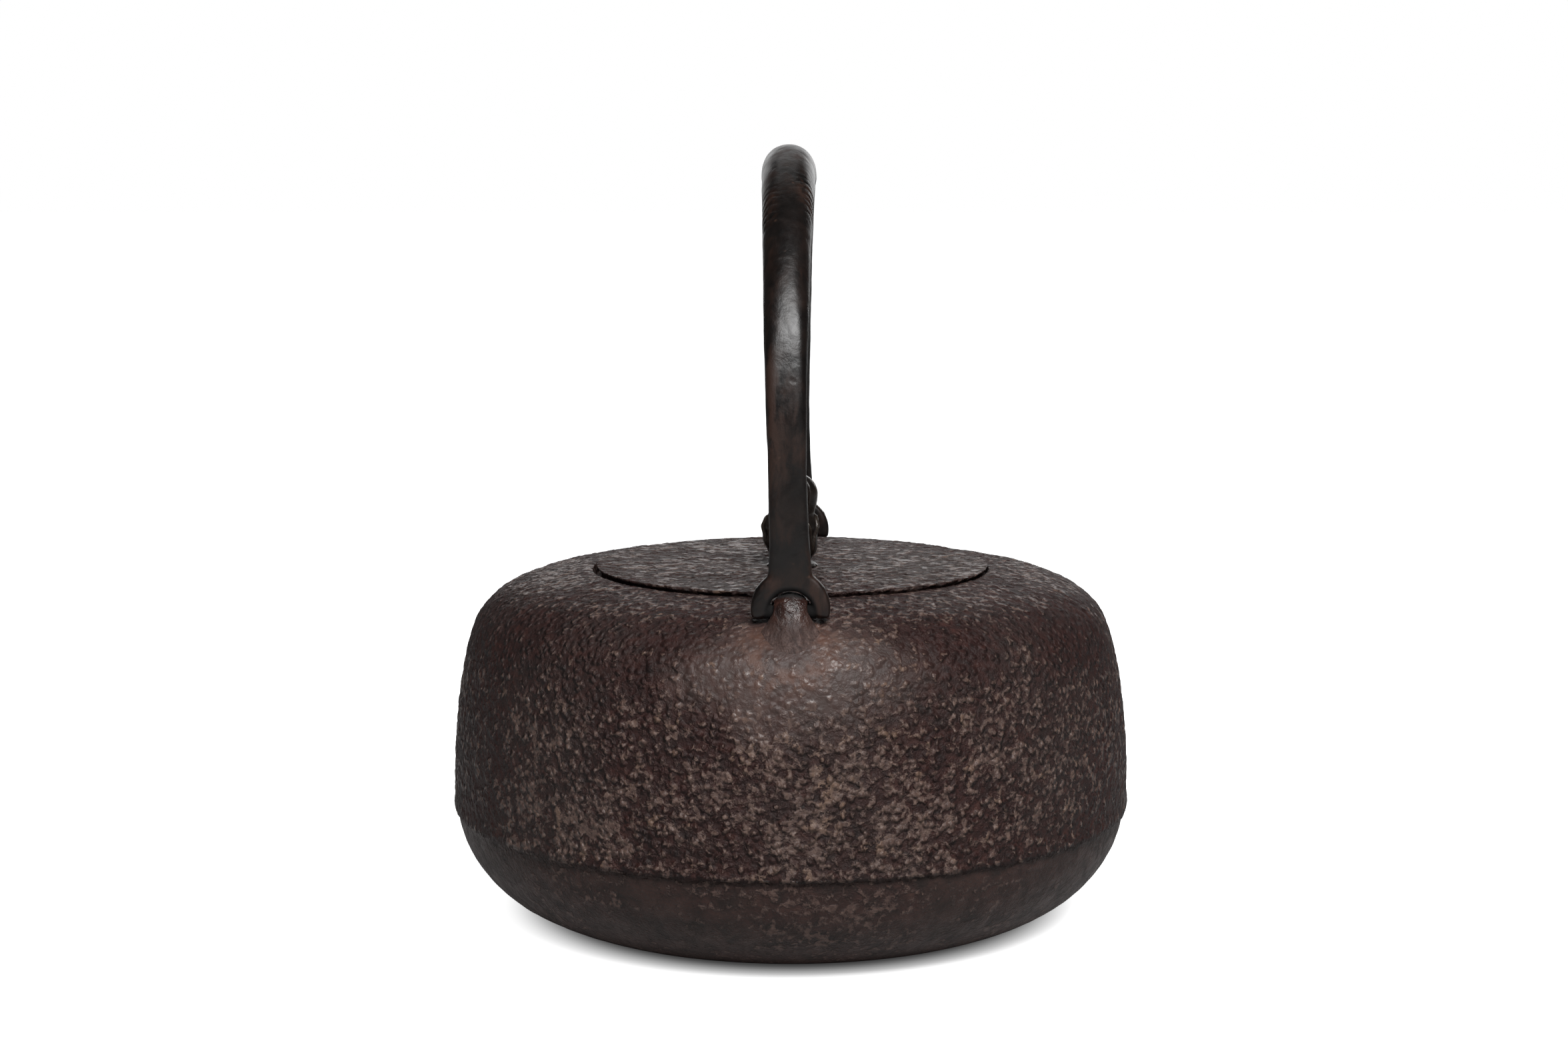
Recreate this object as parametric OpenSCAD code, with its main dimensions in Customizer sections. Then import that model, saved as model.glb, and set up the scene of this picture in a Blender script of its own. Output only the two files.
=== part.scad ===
// Flat round cast iron water kettle with an arched iron handle.
// Millimetres, +Z up. The base stands on z = 0 with the body axis on Z.
// The spout points along +Y; the handle arches over the lid in the YZ plane.

/* [Body] */
// Largest outside diameter of the body
body_d = 190; // [186:1:194]
// Radius of the flat the kettle stands on
base_r = 62; // [58:1:66]
// Height of the widest part of the body
belly_z = 33; // [31:0.5:35]
// Height of the seam between the rough upper body and the smooth base pan
seam_z = 30.2; // [27:0.1:30.4]
// How far the rough upper skin stands proud of the base pan at the seam
seam_step = 0.6; // [0.3:0.1:1.0]
// Wall thickness of the upper body
upper_wall = 3.6; // [3:0.1:4.5]
// Wall thickness of the base pan
pan_wall = 4.4; // [3.8:0.1:5]
// Height the pan's rim reaches up inside the upper body
lap_h = 3; // [2:0.5:4]

/* [Shoulder] */
// Radius at which the side turns over into the shoulder
shoulder_r = 87; // [86:0.5:88]
// Height at which the side turns over into the shoulder
shoulder_z = 84.5; // [83.5:0.5:85]
// Height of the lip around the lid
lip_z = 95.9; // [95.5:0.1:96.2]

/* [Lid] */
// Radius of the lid
lid_r = 55; // [54:0.5:56]
// Gap all round between the lid and the lip
lid_gap = 0.8; // [0.7:0.1:1.2]
// How far the lid lies to the +X side inside its gap
lid_shift = 0.4; // [0:0.1:0.4]
// Height of the lid's upper edge
lid_top_z = 96.2; // [96:0.1:96.6]
// How far the middle of the lid is dished below its edge
lid_dish = 0.5; // [0:0.1:1]
// Radius of the pouring and filling mouth under the lid
mouth_r = 50; // [49:0.5:51]
// Depth of the locating collar below the lid plate
collar_h = 8; // [5:0.5:10]

/* [Knob] */
// Height of the bud-shaped knob
knob_h = 25.4; // [23:0.1:26]
// Radius of the knob at its neck
knob_neck_r = 5; // [4.6:0.1:5.6]
// Radius of the lower swelling of the knob
knob_low_r = 8.6; // [8:0.1:9]
// Radius of the waist between the two swellings
knob_waist_r = 6.7; // [6.4:0.1:7.2]
// Radius of the upper swelling of the knob
knob_top_r = 7; // [6.8:0.1:7.6]
// Number of petals round the knob
petals = 6; // [5:1:8]
// Radius of the split pin's shank
pin_r = 1.6; // [1.4:0.1:1.8]

/* [Handle] */
// Height of the top of the handle
handle_top_z = 213.5; // [208:0.5:218]
// Height at which the legs turn into the arch
arch_z = 136; // [130:1:140]
// Half the distance between the middles of the legs
leg_y = 75.6; // [75.2:0.1:76]
// Width of the legs
leg_w = 9.8; // [9.2:0.1:10.2]
// Depth of the legs
leg_depth = 7.2; // [6.6:0.2:7.6]
// Width of the grip at the top of the arch
grip_w = 15.2; // [14:0.2:16]
// Height of the rounded outer half of the grip
grip_out = 9; // [8:0.5:10]
// Height of the flatter inner half of the grip
grip_in = 6; // [5:0.5:7]

// How far the handle leans to the -X side, resting against one side of its play
handle_lean = 0.7; // [0:0.1:1]

/* [Handle feet and lugs] */
// Outer radius of the horseshoe-shaped foot
fork_r = 9.95; // [9.6:0.05:10.2]
// Radius of the opening in the foot
fork_in_r = 6.2; // [6.1:0.1:6.4]
// Thickness of the foot
fork_t = 4.6; // [4:0.2:5]
// Distance of the foot and of the lug hole from the body axis
lug_y = 76; // [75.6:0.1:76.4]
// How far the lugs and the handle sit to the +X side of the middle
lug_x = 0.9; // [0:0.1:1]
// Height of the hole through each lug
hole_z = 95.2; // [95:0.1:95.4]
// Radius of the hole through each lug
hole_r = 2.6; // [2.5:0.1:2.8]
// Radius of the turned-in tips that sit in the lug hole
tip_r = 1.9; // [1.7:0.1:2]

/* [Spout] */
// Outer radius of the spout at its mouth
spout_r = 9; // [8:0.5:9.5]
// Outer radius of the spout at its root
spout_root_r = 14; // [13:0.5:15]
// Radius of the pouring channel
spout_bore_r = 6.5; // [6:0.1:6.6]
// Angle of the spout above the horizontal
spout_tilt = 36; // [32:1:38]

/* [Hidden] */
$fn = 96;
R = body_d / 2;
eps = 0.01;

iron = [0.20, 0.17, 0.16];
pan_iron = [0.22, 0.21, 0.19];
handle_iron = [0.12, 0.10, 0.09];
lug_iron = [0.25, 0.17, 0.14];
bronze = [0.30, 0.24, 0.17];

// A point on a four-point curve
function bez(a, b, c, d, t) =
    pow(1 - t, 3) * a + 3 * pow(1 - t, 2) * t * b + 3 * (1 - t) * t * t * c + t * t * t * d;
function curve(a, b, c, d, n, first = 0) = [for (i = [first:n]) bez(a, b, c, d, i / n)];
// The same line moved sideways into the metal by d
function inset(p, d) = [for (i = [0:len(p) - 1])
    let (a = p[max(i - 1, 0)], b = p[min(i + 1, len(p) - 1)], t = b - a)
    p[i] + d * [-t[1], t[0]] / norm(t)];
function ease(a, b, t) = a + (b - a) * (3 * t * t - 2 * t * t * t);

// Lower quarter: from the standing flat round to the widest part
function lower_line(r) = curve([base_r, 0], [base_r + 9.5, 0], [r, belly_z - 24], [r, belly_z], 16);
// Side: straight and nearly upright, leaning in towards the shoulder
shoulder = [shoulder_r, shoulder_z];
turn = [cos(127.5), sin(127.5)];
side_line = curve([R, belly_z], [R, belly_z + 24.5], shoulder - 7.5 * turn, shoulder, 16);
// Shoulder: turning over and running almost flat to the lip
lip = [lid_r + lid_gap, lip_z];
flow = [-cos(8.5), sin(8.5)];
top_line = curve(shoulder, shoulder + 11.5 * turn, lip - 14 * flow, lip, 16, 1);

upper_line = concat([for (p = lower_line(R)) if (p[1] > seam_z + 0.4 && p[1] < belly_z - 0.1) p], side_line, top_line);
pan_line = [for (p = lower_line(R - seam_step)) if (p[1] < seam_z - 0.4) p];
upper_in = [for (p = inset(upper_line, upper_wall)) if (p[1] > seam_z + lap_h + 1 && p[0] > 66) p];
pan_in = [for (p = inset(pan_line, pan_wall)) if (p[0] > base_r && p[1] > pan_wall) p];

lap_r = R - seam_step - 1.9;
seat_z = lid_top_z - 3.9;
rim_in_z = seat_z - 3.8;

module whole_body_solid() {
    rotate_extrude() polygon(concat([[0, 0]], lower_line(R), side_line, top_line, [[lip[0], lip_z - 12], [0, lip_z - 12]]));
}

// Line of the spout: starts inside the body and runs up and out
spout_out = [107, 80.6];
module along_spout() {
    translate([0, spout_out[0], spout_out[1]]) rotate([spout_tilt - 90, 0, 0]) children();
}

module upper_body() {
    color(iron)
    difference() {
        rotate_extrude() polygon(concat(
            [[R, seam_z]], upper_line,
            [[lip[0], seat_z], [mouth_r, seat_z], [mouth_r, rim_in_z], [mouth_r + 12, rim_in_z]],
            [for (i = [len(upper_in) - 1:-1:0]) upper_in[i]],
            [[R - upper_wall, seam_z + lap_h + 0.05], [lap_r + 0.05, seam_z + lap_h + 0.05], [lap_r + 0.05, seam_z]]));
        along_spout() translate([0, 0, -60]) cylinder(r = spout_bore_r, h = 60);
    }
}

module lower_body() {
    color(pan_iron)
    rotate_extrude() polygon(concat(
        [[0, 0]], pan_line,
        [[R - seam_step, seam_z - 0.02], [lap_r, seam_z - 0.02], [lap_r, seam_z + lap_h], [R - seam_step - pan_wall, seam_z + lap_h]],
        [for (i = [len(pan_in) - 1:-1:0]) pan_in[i]],
        [[base_r, pan_wall], [0, pan_wall]]));
}

module spout() {
    color(iron)
    difference() {
        along_spout() rotate_extrude() polygon([
            [spout_bore_r, -34], [spout_root_r + 0.5, -34], [spout_root_r, -24], [spout_root_r - 2.2, -15], [spout_r + 0.6, -5],
            [spout_r, -1], [spout_r - 0.6, 0], [spout_bore_r + 0.4, 0], [spout_bore_r, -0.6]]);
        whole_body_solid();
    }
}

// A smooth cast hill with a hole across it for the turned-in tips of the handle
module lug(side) {
    color(lug_iron)
    difference() {
        hull() {
            translate([lug_x, side * (lug_y - 0.3), 94.4]) sphere(r = fork_in_r - 0.65, $fn = 32);
            translate([lug_x, side * (lug_y - 5), 90.2]) sphere(r = 5.6, $fn = 32);
            translate([lug_x, side * (lug_y + 2.4), 86.2]) sphere(r = 6.6, $fn = 32);
        }
        whole_body_solid();
        translate([lug_x, side * lug_y, hole_z]) rotate([0, 90, 0]) cylinder(r = hole_r, h = 20, center = true);
    }
}
module rear_lug() { lug(-1); }
module front_lug() { lug(1); }

// Cross-section of the handle: w wide, reaching out and in by different amounts
sides = 24;
function ring(y, z, ny, nz, w, out, inn, n) = [for (k = [0:sides - 1])
    let (a = 360 * k / sides, c = cos(a), s = sin(a),
         x = w / 2 * sign(c) * pow(abs(c), 2 / n),
         d = (s > 0 ? out : inn) * sign(s) * pow(abs(s), 2 / n))
    [x, y + ny * d, z + nz * d]];
rise = handle_top_z - grip_out - arch_z;
leg_n = 5;
leg_steps = 8;
leg_z0 = 101.6;
function leg_ring(side, z) =
    let (u = (z - leg_z0) / (arch_z - leg_z0), v = max(0, 1 - u * 2.2))
    ring(side * ease(leg_y, lug_y, v), z, side, 0, ease(leg_w, leg_w + 1.4, v),
         ease(leg_depth, fork_t + 0.2, v) / 2, ease(leg_depth, fork_t + 0.2, v) / 2, leg_n);
function arch_ring(t) =
    let (h = 1 - abs(t - 90) / 90, u = pow(h, 1.1), ny = cos(t) / leg_y, nz = sin(t) / rise, l = norm([ny, nz]))
    ring(leg_y * cos(t), arch_z + rise * sin(t), ny / l, nz / l, leg_w + (grip_w - leg_w) * h,
         leg_depth / 2 + (grip_out - leg_depth / 2) * u, leg_depth / 2 + (grip_in - leg_depth / 2) * u,
         leg_n + (2.15 - leg_n) * min(1, 2.6 * h));
rings = concat(
    [for (i = [0:leg_steps - 1]) leg_ring(1, leg_z0 + (arch_z - leg_z0) * i / leg_steps)],
    [for (t = [0:5:180]) arch_ring(t)],
    [for (i = [leg_steps - 1:-1:0]) leg_ring(-1, leg_z0 + (arch_z - leg_z0) * i / leg_steps)]);
module bail() {
    last = len(rings) - 1;
    polyhedron(
        points = [for (r = rings) for (p = r) p],
        faces = concat(
            [[for (k = [0:sides - 1]) k]],
            [[for (k = [sides - 1:-1:0]) last * sides + k]],
            [for (i = [0:last - 1]) for (k = [0:sides - 1]) [i * sides + k, (i + 1) * sides + k, i * sides + (k + 1) % sides]],
            [for (i = [0:last - 1]) for (k = [0:sides - 1]) [(i + 1) * sides + k, (i + 1) * sides + (k + 1) % sides, i * sides + (k + 1) % sides]]));
}

// Horseshoe foot that straddles the lug, with its tips turned in to the lug hole
tip_end_z = 93.5;
module foot(side) {
    difference() {
        union() {
            translate([0, side * lug_y, 96]) rotate([90, 0, 0]) cylinder(r = fork_r, h = fork_t, center = true);
            translate([0, side * lug_y, 0]) rotate([90, 0, 0]) linear_extrude(height = fork_t, center = true)
                polygon([[-8.2, 101.5], [8.2, 101.5], [leg_w / 2 + 0.8, 105.8], [-leg_w / 2 - 0.8, 105.8]]);
        }
        translate([0, side * lug_y, 94.5]) rotate([90, 0, 0]) cylinder(r = fork_in_r, h = 10, center = true);
        translate([-fork_in_r, side * lug_y - 5, 80]) cube([2 * fork_in_r, 10, 14.5]);
        translate([-15, side * lug_y - 5, 80]) cube([30, 10, tip_end_z - 80]);
    }
    for (m = [-1, 1])
        translate([m * 5.6, side * lug_y, hole_z]) rotate([0, 90, 0]) cylinder(r = tip_r - 0.2, h = 4.2, center = true);
}

module handle() {
    color(handle_iron)
    translate([lug_x, 0, hole_z]) rotate([0, -handle_lean, 0]) translate([0, 0, -hole_z])
    union() {
        bail();
        foot(1);
        foot(-1);
    }
}

// Lid: thin plate, very slightly dished, with a locating collar below
plate_in_z = lid_top_z - lid_dish - 3.4;
pin_hole_r = pin_r + 0.07;
module lid() {
    color(iron)
    translate([lid_shift, 0, 0])
    rotate_extrude() polygon(concat(
        [[pin_hole_r, plate_in_z], [mouth_r - 4, plate_in_z], [mouth_r - 4, seat_z - collar_h], [mouth_r - 1.5, seat_z - collar_h],
         [mouth_r - 1.5, seat_z + 0.1], [lid_r - 0.3, seat_z + 0.1], [lid_r, seat_z + 0.5], [lid_r, lid_top_z - 0.5]],
        [for (i = [0:10]) let (r = (lid_r - 0.5) * (1 - i / 10)) if (r > 9) [r, lid_top_z - lid_dish * (1 - pow(r / lid_r, 2))]],
        [[8.5, lid_top_z - lid_dish], [pin_hole_r, lid_top_z - lid_dish]]));
}

// Thin scalloped seat between knob and lid
seat_h = 1.0;
knob_z = lid_top_z - lid_dish + seat_h + 0.08;
module knob_seat() {
    color(bronze)
    translate([lid_shift, 0, lid_top_z - lid_dish])
    difference() {
        rotate_extrude() polygon([[0, 0], [7.0, 0], [7.2, 0.4], [6.4, seat_h], [0, seat_h]]);
        translate([0, 0, -1]) cylinder(r = pin_hole_r, h = seat_h + 2);
        for (i = [0:petals * 2 - 1]) rotate(i * 180 / petals + 15) translate([8.0, 0, -1]) cylinder(r = 1.2, h = seat_h + 2, $fn = 24);
    }
}

knob_line = concat(
    [for (i = [0:6]) [knob_neck_r + (knob_low_r - 0.9 - knob_neck_r) * sin(i * 15), knob_h * 0.30 * i / 6]],
    [for (i = [1:3]) [ease(knob_low_r - 0.9, knob_low_r, i / 3), knob_h * (0.30 + 0.10 * i / 3)]],
    [for (i = [1:5]) [ease(knob_low_r, knob_waist_r, i / 5), knob_h * (0.40 + 0.16 * i / 5)]],
    [for (i = [1:4]) [ease(knob_waist_r, knob_top_r, i / 4), knob_h * (0.56 + 0.20 * i / 4)]],
    [for (i = [1:9]) [knob_top_r * cos(i * 10), knob_h * (0.76 + 0.24 * sin(i * 10))]]);
module knob() {
    color(bronze)
    translate([lid_shift, 0, knob_z])
    difference() {
        rotate_extrude() polygon(concat([[0, 0]], [for (p = knob_line) if (p[0] > 0.01) p], [[0, knob_h]]));
        // shallow furrows between the petals
        for (i = [0:petals - 1]) rotate(i * 360 / petals + 20)
            translate([9.1, 0, -1]) rotate([0, -3.4, 0]) cylinder(r = 1.2, h = knob_h + 4, $fn = 24);
        // blind socket for the shank of the split pin
        translate([0, 0, -1]) cylinder(r = pin_r, h = 9);
    }
}

// Split pin: shank fixed in the knob, two legs spread flat under the lid
washer_h = 0.8;
leg_top_z = plate_in_z - washer_h - 0.16;
module split_pin() {
    color(bronze)
    translate([lid_shift, 0, 0])
    union() {
        translate([0, 0, leg_top_z - 1.4]) cylinder(r = pin_r, h = knob_z + 7.8 - leg_top_z + 1.4);
        for (m = [-1, 1]) {
            translate([m * 4.5, 0, leg_top_z - 0.7]) cube([9, 2.4, 1.4], center = true);
            translate([m * 9, 0, leg_top_z - 1.4]) cylinder(r = 1.2, h = 1.4);
        }
    }
}

module knob_washer() {
    color(bronze)
    translate([lid_shift, 0, plate_in_z - washer_h - 0.04])
    rotate_extrude() polygon([[pin_hole_r, 0], [6, 0], [6, washer_h], [pin_hole_r, washer_h]]);
}

upper_body();
lower_body();
spout();
rear_lug();
front_lug();
handle();
lid();
knob_seat();
knob();
split_pin();
knob_washer();
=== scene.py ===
import math

import bmesh
import bpy
import numpy as np
from mathutils import Matrix, Vector


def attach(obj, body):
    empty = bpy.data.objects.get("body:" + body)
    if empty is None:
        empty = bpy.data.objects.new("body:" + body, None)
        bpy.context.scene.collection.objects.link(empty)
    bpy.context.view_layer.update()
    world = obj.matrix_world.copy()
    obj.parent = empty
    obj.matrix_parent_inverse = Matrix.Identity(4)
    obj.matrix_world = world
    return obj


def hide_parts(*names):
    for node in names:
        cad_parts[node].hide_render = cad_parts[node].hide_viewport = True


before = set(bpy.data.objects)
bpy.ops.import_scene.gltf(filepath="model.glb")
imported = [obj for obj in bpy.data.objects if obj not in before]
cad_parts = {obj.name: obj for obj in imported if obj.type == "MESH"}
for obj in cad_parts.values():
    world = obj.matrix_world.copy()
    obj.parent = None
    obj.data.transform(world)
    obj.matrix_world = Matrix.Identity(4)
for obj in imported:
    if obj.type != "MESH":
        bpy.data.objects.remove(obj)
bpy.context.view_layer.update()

MM = 0.001

# ------------------------------------------------------------------ noise

def _hash(ix, iy, iz, seed):
    h = ix * 374761393 + iy * 668265263 + iz * 1440662683 + seed * 1013904223
    h = (h & 0xFFFFFFFF).astype(np.uint64)
    m = np.uint64(0xFFFFFFFF)
    h = ((h ^ (h >> np.uint64(13))) * np.uint64(1274126177)) & m
    h = ((h ^ (h >> np.uint64(16))) * np.uint64(2246822519)) & m
    h = h ^ (h >> np.uint64(15))
    return h.astype(np.float64) / 4294967296.0


def vnoise(p, seed=0):
    i = np.floor(p).astype(np.int64)
    f = p - i
    u = f * f * f * (f * (f * 6 - 15) + 10)
    r = np.zeros(len(p))
    for dx in (0, 1):
        wx = u[:, 0] if dx else 1 - u[:, 0]
        for dy in (0, 1):
            wy = u[:, 1] if dy else 1 - u[:, 1]
            for dz in (0, 1):
                wz = u[:, 2] if dz else 1 - u[:, 2]
                r += wx * wy * wz * _hash(i[:, 0] + dx, i[:, 1] + dy, i[:, 2] + dz, seed)
    return r * 2 - 1


def fbm(p, octaves=3, gain=0.5, seed=0):
    a, s, t = 1.0, np.zeros(len(p)), 0.0
    for o in range(octaves):
        s += a * vnoise(p + 17.31 * o, seed + 7 * o)
        t += a
        a *= gain
        p = p * 2.03
    return s / t


def cells(p, seed=0):
    """Distances to the nearest and second nearest of a set of scattered points."""
    i = np.floor(p).astype(np.int64)
    f = p - i
    f1 = np.full(len(p), 9.0)
    f2 = np.full(len(p), 9.0)
    for dx in (-1, 0, 1):
        for dy in (-1, 0, 1):
            for dz in (-1, 0, 1):
                a, b, c = i[:, 0] + dx, i[:, 1] + dy, i[:, 2] + dz
                q = np.stack([dx + _hash(a, b, c, seed), dy + _hash(a, b, c, seed + 1), dz + _hash(a, b, c, seed + 2)], 1) - f
                d = np.sqrt((q * q).sum(1))
                f2 = np.where(d < f1, f1, np.minimum(f2, d))
                f1 = np.minimum(f1, d)
    return f1, f2


def step(a, b, x):
    t = np.clip((x - a) / (b - a), 0, 1)
    return t * t * (3 - 2 * t)


# ------------------------------------------------------------------ shape lines, the same as the CAD's (mm)
BODY_R, BASE_R, BELLY_Z, SEAM_Z, SEAM_STEP = 95.0, 62.0, 33.0, 30.2, 0.6
LID_R, LID_GAP, LID_SHIFT, LID_TOP, LID_DISH, MOUTH_R = 55.0, 0.8, 0.4, 96.2, 0.5, 50.0
LIP_Z = 95.9
SEAT_Z = LID_TOP - 3.9
RIM_IN = SEAT_Z - 3.8
WALL, PAN_WALL, LAP_H = 3.6, 4.4, 3.0
LUG_X, LUG_Y, HOLE_Z, HOLE_R = 0.9, 76.0, 95.2, 2.6


def bez(a, b, c, d, n, first=0):
    t = (np.arange(first, n + 1) / n)[:, None]
    a, b, c, d = (np.asarray(v, float) for v in (a, b, c, d))
    return (1 - t) ** 3 * a + 3 * (1 - t) ** 2 * t * b + 3 * (1 - t) * t * t * c + t ** 3 * d


def lower_line(r):
    return bez((BASE_R, 0), (BASE_R + 9.5, 0), (r, BELLY_Z - 24), (r, BELLY_Z), 60)


SHO = np.array([87.0, 84.5])
TURN = np.array([math.cos(math.radians(127.5)), math.sin(math.radians(127.5))])
FLOW = np.array([-math.cos(math.radians(8.5)), math.sin(math.radians(8.5))])
LIP = np.array([LID_R + LID_GAP, LIP_Z])
SIDE = bez((BODY_R, BELLY_Z), (BODY_R, BELLY_Z + 24.5), SHO - 7.5 * TURN, SHO, 60)
TOP = bez(SHO, SHO + 11.5 * TURN, LIP - 14 * FLOW, LIP, 60, 1)
LOW = lower_line(BODY_R)
OUTER = np.concatenate([LOW, SIDE[1:], TOP])


def resample(p, gap):
    s = np.concatenate([[0], np.cumsum(np.linalg.norm(np.diff(p, axis=0), axis=1))])
    n = max(2, int(round(s[-1] / gap)))
    t = np.linspace(0, s[-1], n + 1)
    return np.stack([np.interp(t, s, p[:, 0]), np.interp(t, s, p[:, 1])], 1)


def inset(p, d):
    t = np.gradient(p, axis=0)
    t /= np.linalg.norm(t, axis=1)[:, None]
    return p + d * np.stack([-t[:, 1], t[:, 0]], 1)


_fine = resample(OUTER, 0.25)
_ft = np.gradient(_fine, axis=0)
_ft /= np.linalg.norm(_ft, axis=1)[:, None]
_fn = np.stack([_ft[:, 1], -_ft[:, 0]], 1)


def skin_height(P):
    """Height above the smooth outer surface of the body (mm) and that surface's outward direction, for points P."""
    r = np.hypot(P[:, 0], P[:, 1])
    h = np.empty(len(P))
    k = np.empty(len(P), int)
    for a in range(0, len(P), 4000):
        q = np.stack([r[a:a + 4000], P[a:a + 4000, 2]], 1)
        d = ((q[:, None, :] - _fine[None]) ** 2).sum(2)
        j = d.argmin(1)
        k[a:a + 4000] = j
        h[a:a + 4000] = ((q - _fine[j]) * _fn[j]).sum(1)
    n2 = _fn[k]
    er = np.stack([P[:, 0] / np.maximum(r, 1e-6), P[:, 1] / np.maximum(r, 1e-6)], 1)
    N = np.stack([er[:, 0] * n2[:, 0], er[:, 1] * n2[:, 0], n2[:, 1]], 1)
    return h, N


# ------------------------------------------------------------------ mesh helpers

def make(name, V, F, mat, attrs=None, smooth=True):
    """V in mm."""
    me = bpy.data.meshes.new(name)
    me.from_pydata((np.asarray(V) * MM).tolist(), [], [tuple(int(i) for i in f) for f in F])
    me.update()
    ob = bpy.data.objects.new(name, me)
    bpy.context.scene.collection.objects.link(ob)
    bm = bmesh.new()
    bm.from_mesh(me)
    bmesh.ops.recalc_face_normals(bm, faces=bm.faces)
    bm.to_mesh(me)
    bm.free()
    for k, v in (attrs or {}).items():
        a = me.attributes.new(k, "FLOAT", "POINT")
        a.data.foreach_set("value", np.asarray(v, dtype=np.float32))
    if smooth:
        me.polygons.foreach_set("use_smooth", [True] * len(me.polygons))
    if mat:
        me.materials.append(mat)
    return ob


def verts_of(ob):
    n = len(ob.data.vertices)
    a = np.empty(n * 3)
    ob.data.vertices.foreach_get("co", a)
    return a.reshape(-1, 3) / MM


def normals_of(ob):
    n = len(ob.data.vertices)
    a = np.empty(n * 3)
    ob.data.vertices.foreach_get("normal", a)
    return a.reshape(-1, 3)


def set_verts(ob, V):
    ob.data.vertices.foreach_set("co", (V * MM).ravel())
    ob.data.update()


def set_attr(ob, name, v):
    a = ob.data.attributes.get(name) or ob.data.attributes.new(name, "FLOAT", "POINT")
    a.data.foreach_set("value", np.asarray(v, dtype=np.float32))


def bake(ob):
    """Applies the object's modifiers."""
    dg = bpy.context.evaluated_depsgraph_get()
    me = bpy.data.meshes.new_from_object(ob.evaluated_get(dg))
    old = ob.data
    ob.modifiers.clear()
    ob.data = me
    if old.users == 0:
        bpy.data.meshes.remove(old)
    return ob


def cut(ob, tool, solver="MANIFOLD"):
    m = ob.modifiers.new("cut", "BOOLEAN")
    m.operation = "DIFFERENCE"
    m.object = tool
    m.solver = solver
    bake(ob)
    me = tool.data
    bpy.data.objects.remove(tool)
    bpy.data.meshes.remove(me)


def remesh(ob, voxel, rounds=0, factor=0.5):
    m = ob.modifiers.new("vox", "REMESH")
    m.mode = "VOXEL"
    m.voxel_size = voxel * MM
    if rounds:
        s = ob.modifiers.new("sm", "SMOOTH")
        s.factor = factor
        s.iterations = rounds
    mats = [x for x in ob.data.materials]
    bake(ob)
    ob.data.materials.clear()
    for x in mats:
        ob.data.materials.append(x)
    ob.data.polygons.foreach_set("use_smooth", [True] * len(ob.data.polygons))


def tube_faces(rows, cols, close_rows=False, wrap=True):
    F = []
    i = np.arange(rows if close_rows else rows - 1)
    j = np.arange(cols if wrap else cols - 1)
    I, J = np.meshgrid(i, j, indexing="ij")
    I2, J2 = (I + 1) % rows, (J + 1) % cols
    F = np.stack([I * cols + J, I * cols + J2, I2 * cols + J2, I2 * cols + J], -1).reshape(-1, 4)
    return F


def revolve(prof, nt, cx=0.0, closed=True):
    """Points and quads of a line (r, z) turned about Z. A closed line makes a ring; an open one starts and ends on the axis."""
    th = np.linspace(0, 2 * np.pi, nt, endpoint=False) + 0.003
    m = len(prof)
    t = np.gradient(np.concatenate([prof[-1:], prof, prof[:1]]) if closed else prof, axis=0)
    if closed:
        t = t[1:-1]
    t /= np.maximum(np.linalg.norm(t, axis=1), 1e-9)[:, None]
    n2 = np.stack([t[:, 1], -t[:, 0]], 1)
    c, s = np.cos(th), np.sin(th)
    V = np.stack([prof[:, 0, None] * c, prof[:, 0, None] * s, np.broadcast_to(prof[:, 1, None], (m, nt))], -1)
    N = np.stack([n2[:, 0, None] * c, n2[:, 0, None] * s, np.broadcast_to(n2[:, 1, None], (m, nt))], -1)
    V = V.reshape(-1, 3)
    V[:, 0] += cx
    return V, N.reshape(-1, 3), tube_faces(m, nt, closed)


# ------------------------------------------------------------------ materials

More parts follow.
